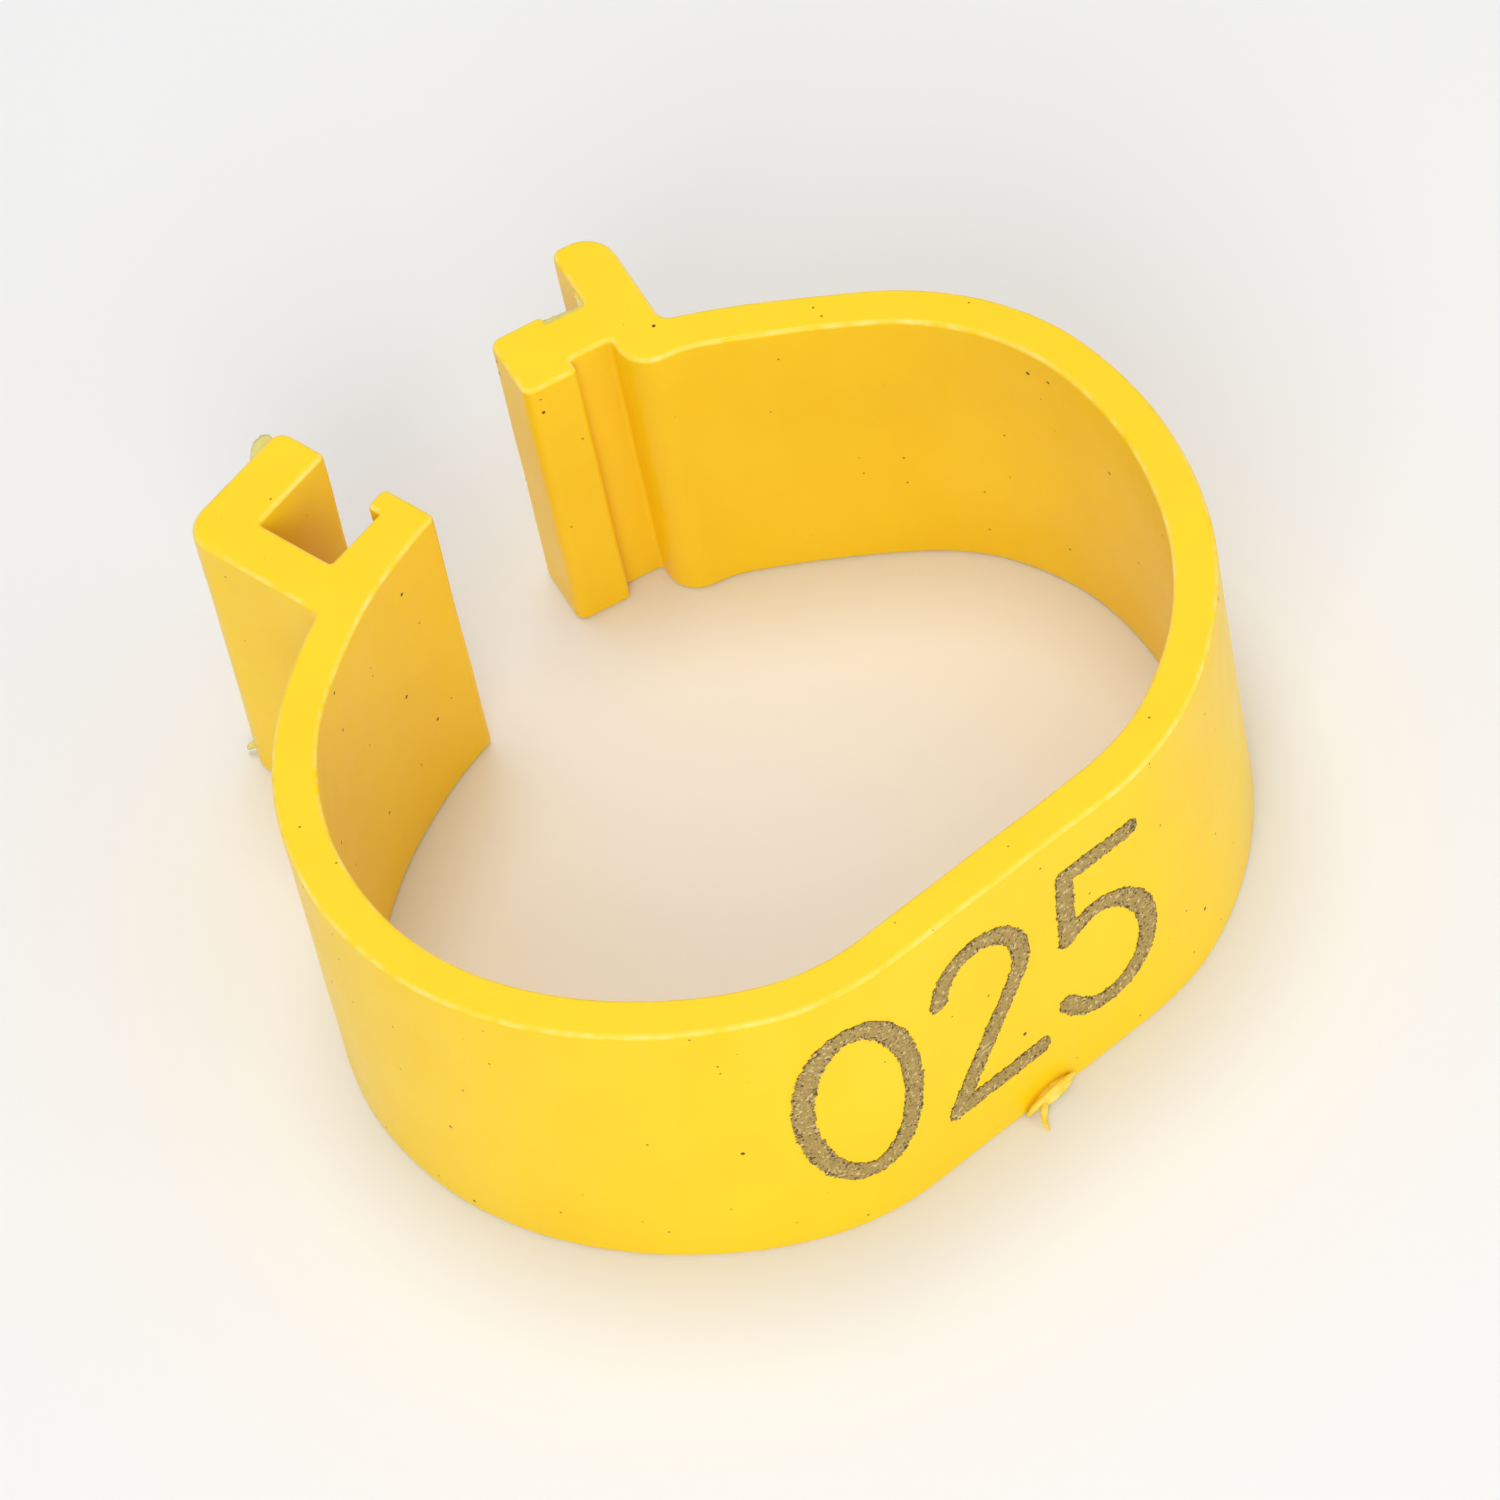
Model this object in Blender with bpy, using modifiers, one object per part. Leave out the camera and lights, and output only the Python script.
"""A clip-on, numbered leg band for poultry, open, as it comes out of its mould.

The band is one moulding with the same outline all through its height: a flat number plate, two strap arms that
bend, a channel at the end of one arm and a T-shaped key at the end of the other. It is modelled as its functional
pieces, each with its own node, and a narrow seam stands where one piece runs into the next.

Frame: the origin is the middle of the number plate's lower rim. The plate's outer face looks along -Y, the ring
lies behind it, towards +Y, and +Z is the band's axis. The channel arm starts at -X and the key arm at +X.

Every outline is drawn in XY with a walk along the strap's middle line, out from the plate's centre. The walk is
worked out for the +X side and mirrored for the channel arm.
"""

import math

import bpy
from mathutils import Matrix, Vector

MM = 0.001

BAND_HEIGHT = 10.0 * MM
STRAP = 1.2 * MM  # thickness of the plate and the arms
SEAM = 0.25 * MM  # between two pieces
EDGE = 0.12 * MM  # rounding of the rims

PLATE_LENGTH = 7.4 * MM
SHOULDER_LENGTH = 3.3 * MM

# the strap's arcs from the plate outwards, each a length and a radius of the middle line
CHANNEL_ARCS = ((SHOULDER_LENGTH, 6.5 * MM), (6.5 * MM, 11.6 * MM), (13.0 * MM, 9.1 * MM), (6.5 * MM, 14.9 * MM))
KEY_ARCS = (
    (SHOULDER_LENGTH, 7.0 * MM),
    (6.1 * MM, 9.9 * MM),
    (6.1 * MM, 11.5 * MM),
    (6.1 * MM, 7.5 * MM),
    (5.2 * MM, 34.5 * MM),
)
BENDS = 4  # hinges that stand for the bending of one arm
ARC_STEP = 0.75 * MM  # the longest chord on a curved outline

# the channel, measured from the tip of its hook wall: back along the slot, and outwards from the ring's inside
CHANNEL_LENGTH = 4.2 * MM
CHANNEL_HEIGHT = 5.5 * MM
SLOT_DEPTH = 2.75 * MM
SLOT_FLOOR = 1.35 * MM  # outside of the hook wall
SLOT_WIDTH = 2.5 * MM
LIP_LENGTH = 0.75 * MM
LIP_HEIGHT = 0.45 * MM
CHANNEL_CORNER = 0.9 * MM
TIP_CHAMFER = 0.4 * MM

# the key, measured from the arm's end: along the key, and outwards from the ring's inside
KEY_CANT = math.radians(20.0)  # how much further than its arm the key turns inwards
FLANGE_THICKNESS = 1.5 * MM
FLANGE_HEIGHT = 5.0 * MM
FLANGE_CORNER = 1.0 * MM
FLANGE_FOOT = 0.8 * MM  # rounding of its inner front corner, where the flange turns into the strap
NECK_LENGTH = 1.2 * MM
NECK_SPAN = (1.35 * MM, 2.85 * MM)
HEAD_LENGTH = 1.6 * MM
HEAD_SPAN = (0.9 * MM, 3.15 * MM)
HEAD_CORNER = 0.3 * MM

# what is left of the gate, at the plate's lower rim
GATE_CENTRE = 0.2 * MM
GATE_WIDTH = 1.8 * MM
GATE_REACH = 0.9 * MM
GATE_HEIGHT = 0.7 * MM

YELLOW = (0.98, 0.66, 0.02, 1.0)
MERGE = 0.00001

ARM_START = PLATE_LENGTH / 2 + SHOULDER_LENGTH


def clear_scene():
    for obj in list(bpy.data.objects):
        bpy.data.objects.remove(obj)


def make_material(name, colour, roughness):
    material = bpy.data.materials.new(name)
    material.use_nodes = True
    shader = material.node_tree.nodes["Principled BSDF"]
    shader.inputs["Base Color"].default_value = colour
    shader.inputs["Roughness"].default_value = roughness
    shader.inputs["Metallic"].default_value = 0.0
    return material


def along(heading):
    return Vector((math.cos(heading), math.sin(heading)))


def inwards(heading):
    return Vector((-math.sin(heading), math.cos(heading)))


def walk(arcs, distance):
    """The middle line's point and heading at a distance from the plate's centre, on the +X side."""
    flat = min(distance, PLATE_LENGTH / 2)
    point = Vector((flat, 0.0))
    heading = 0.0
    left = distance - flat
    for length, radius in arcs:
        step = min(left, length)
        turned = heading + step / radius
        point += radius * (inwards(heading) - inwards(turned))
        heading = turned
        left -= step
        if left <= 0:
            break
    return point, heading


def length_of(arcs):
    return PLATE_LENGTH / 2 + sum(length for length, _ in arcs)


def strap_line(arcs, start, end, offset):
    """Points along the strap at an offset towards the inside of the ring."""
    steps = max(1, math.ceil(abs(end - start) / ARC_STEP))
    points = []
    for n in range(steps + 1):
        point, heading = walk(arcs, start + (end - start) * n / steps)
        points.append(point + offset * inwards(heading))
    return points


def strap_outline(arcs, start, end, lean=0.0):
    """A stretch of strap. Its far end leans so that the outside is longer than the inside by this angle's share."""
    longer = STRAP * math.tan(lean)
    outside = strap_line(arcs, start, end + longer, -STRAP / 2)
    inside = strap_line(arcs, end, start, STRAP / 2)
    return outside + inside


def rounded(corner, before, after, radius, steps=5):
    """Points of the arc that rounds a corner between two neighbouring points of an outline."""
    towards, away = (before - corner).normalized(), (after - corner).normalized()
    half = towards.angle(away) / 2
    reach = radius / math.tan(half)
    centre = corner + (towards + away).normalized() * radius / math.sin(half)
    first = (corner + towards * reach - centre).normalized()
    last = (corner + away * reach - centre).normalized()
    return [centre + radius * first.slerp(last, n / steps) for n in range(steps + 1)]


def local_frame(origin, heading):
    """A function from distances along and outwards to a point."""
    return lambda ahead, out: origin + ahead * along(heading) - out * inwards(heading)


def make_piece(name, outline, low, high, pivot, mirrored, material, collection):
    """An outline made solid between two heights. Its origin is on its pivot's axis, and it hangs from the pivot."""
    side = -1.0 if mirrored else 1.0
    centre = pivot.matrix_world.translation
    curve = bpy.data.curves.new(name, "CURVE")
    curve.dimensions = "2D"
    curve.fill_mode = "BOTH"
    curve.extrude = (high - low) / 2
    spline = curve.splines.new("POLY")
    spline.points.add(len(outline) - 1)
    for target, point in zip(spline.points, outline):
        target.co = (side * point.x - centre.x, point.y - centre.y, 0.0, 1.0)
    spline.use_cyclic_u = True
    curve.materials.append(material)
    piece = bpy.data.objects.new(name, curve)
    collection.objects.link(piece)
    piece.parent = pivot
    piece.location.z = (low + high) / 2
    weld = piece.modifiers.new("weld_caps", "WELD")
    weld.merge_threshold = MERGE
    bevel = piece.modifiers.new("round_rims", "BEVEL")
    bevel.width = EDGE
    bevel.segments = 1
    bevel.limit_method = "ANGLE"
    bevel.angle_limit = math.radians(40)
    return piece


def make_pivot(name, point, mirrored, parent, collection):
    """An empty on a hinge axis."""
    side = -1.0 if mirrored else 1.0
    pivot = bpy.data.objects.new(name, None)
    pivot.empty_display_size = STRAP
    collection.objects.link(pivot)
    place = Vector((side * point.x, point.y, 0.0))
    if parent is not None:
        pivot.parent = parent
        place -= parent.matrix_world.translation
    pivot.location = place
    bpy.context.view_layer.update()
    return pivot


def add_plate(root, material, collection):
    def piece(name, outline, mirrored=False, high=BAND_HEIGHT):
        make_piece(name, outline, 0.0, high, root, mirrored, material, collection)

    half = PLATE_LENGTH / 2 - SEAM / 2
    corners = ((-half, -STRAP / 2), (half, -STRAP / 2), (half, STRAP / 2), (-half, STRAP / 2))
    piece("number_plate", [Vector(corner) for corner in corners])
    start, end = PLATE_LENGTH / 2 + SEAM / 2, ARM_START - SEAM / 2
    piece("channel_shoulder", strap_outline(CHANNEL_ARCS, start, end), True)
    piece("key_shoulder", strap_outline(KEY_ARCS, start, end))
    face = -STRAP / 2 - SEAM
    tip = face - GATE_REACH
    stub = (
        (GATE_CENTRE - GATE_WIDTH / 2, face),
        (GATE_CENTRE - GATE_WIDTH / 4, tip),
        (GATE_CENTRE + GATE_WIDTH / 4, tip),
        (GATE_CENTRE + GATE_WIDTH / 2, face),
    )
    piece("gate_stub", [Vector(corner) for corner in stub], high=GATE_HEIGHT)


def add_arm(side_name, arcs, arm_end, lean, mirrored, root, material, collection):
    """The strap pieces of one arm, each on its own hinge. Returns the last hinge, which carries the clip."""
    length = (arm_end - ARM_START) / BENDS
    pivot = root
    for n in range(BENDS):
        start = ARM_START + n * length
        hinge_point, _ = walk(arcs, start)
        pivot = make_pivot(f"{side_name}_hinge_{n + 1}", hinge_point, mirrored, pivot, collection)
        last = n == BENDS - 1
        end = start + length - (SEAM if last else SEAM / 2)
        outline = strap_outline(arcs, start + SEAM / 2, end, lean if last else 0.0)
        name = f"{side_name}_strap_{n + 1}"
        make_piece(name, outline, 0.0, BAND_HEIGHT, pivot, mirrored, material, collection)
    return pivot


def add_channel(root, material, collection):
    """The C-shaped channel: a back wall, an outer wall, and a hook wall that carries on the ring's inside."""
    total = length_of(CHANNEL_ARCS)
    arm_end = total - CHANNEL_LENGTH
    _, arm_heading = walk(CHANNEL_ARCS, arm_end)
    tip, heading = walk(CHANNEL_ARCS, total)
    lean = heading - arm_heading
    pivot = add_arm("channel", CHANNEL_ARCS, arm_end, lean, True, root, material, collection)
    at = local_frame(tip + STRAP / 2 * inwards(heading), heading)

    def piece(name, outline):
        make_piece(name, outline, 0.0, BAND_HEIGHT, pivot, True, material, collection)

    back, floor = -CHANNEL_LENGTH, -SLOT_DEPTH
    floor_line = total - SLOT_DEPTH
    inside = strap_line(CHANNEL_ARCS, floor_line, arm_end, STRAP / 2)
    corner = rounded(at(back, CHANNEL_HEIGHT), at(back, 0.0), at(0.0, CHANNEL_HEIGHT), CHANNEL_CORNER)
    piece("channel_back_wall", inside + corner + [at(floor, CHANNEL_HEIGHT)])

    start, roof = floor + SEAM, SLOT_FLOOR + SLOT_WIDTH
    outer = [at(start, roof), at(0.0, roof), at(0.0, CHANNEL_HEIGHT - TIP_CHAMFER)]
    outer += [at(-TIP_CHAMFER, CHANNEL_HEIGHT), at(start, CHANNEL_HEIGHT)]
    piece("channel_outer_wall", outer)

    inside = strap_line(CHANNEL_ARCS, floor_line + SEAM, total, STRAP / 2)
    hook = [at(0.0, SLOT_FLOOR + LIP_HEIGHT), at(-LIP_LENGTH, SLOT_FLOOR + LIP_HEIGHT)]
    hook += [at(-LIP_LENGTH, SLOT_FLOOR), at(start, SLOT_FLOOR)]
    piece("channel_hook_wall", inside + hook)


def add_key(root, material, collection):
    """The key: a flange across the end of its arm, and a T-shaped rail on the flange's face."""
    arm_end = length_of(KEY_ARCS)
    point, arm_heading = walk(KEY_ARCS, arm_end)
    pivot = add_arm("key", KEY_ARCS, arm_end, KEY_CANT, False, root, material, collection)
    at = local_frame(point + STRAP / 2 * inwards(arm_heading), arm_heading + KEY_CANT)

    def piece(name, outline):
        make_piece(name, outline, 0.0, BAND_HEIGHT, pivot, False, material, collection)

    top, front = FLANGE_HEIGHT, FLANGE_THICKNESS
    flange = [at(0.0, 0.0)]
    flange += rounded(at(front, 0.0), at(0.0, 0.0), at(front, top), FLANGE_FOOT)
    flange += [at(front, top)]
    flange += rounded(at(0.0, top), at(front, top), at(0.0, 0.0), FLANGE_CORNER)
    piece("key_flange", flange)

    neck_start, head_start = front + SEAM, front + NECK_LENGTH
    head_end = head_start + HEAD_LENGTH
    low, high = HEAD_SPAN
    rail = [at(neck_start, NECK_SPAN[0]), at(head_start, NECK_SPAN[0]), at(head_start, low)]
    rail += rounded(at(head_end, low), at(head_start, low), at(head_end, high), HEAD_CORNER, 2)
    rail += rounded(at(head_end, high), at(head_end, low), at(head_start, high), HEAD_CORNER, 2)
    rail += [at(head_start, high), at(head_start, NECK_SPAN[1]), at(neck_start, NECK_SPAN[1])]
    piece("key_t_rail", rail)


def build():
    clear_scene()
    collection = bpy.data.collections.new("leg_band")
    bpy.context.scene.collection.children.link(collection)
    material = make_material("yellow_plastic", YELLOW, 0.35)
    root = make_pivot("plate_origin", Vector((0.0, 0.0)), False, None, collection)
    add_plate(root, material, collection)
    add_channel(root, material, collection)
    add_key(root, material, collection)


build()
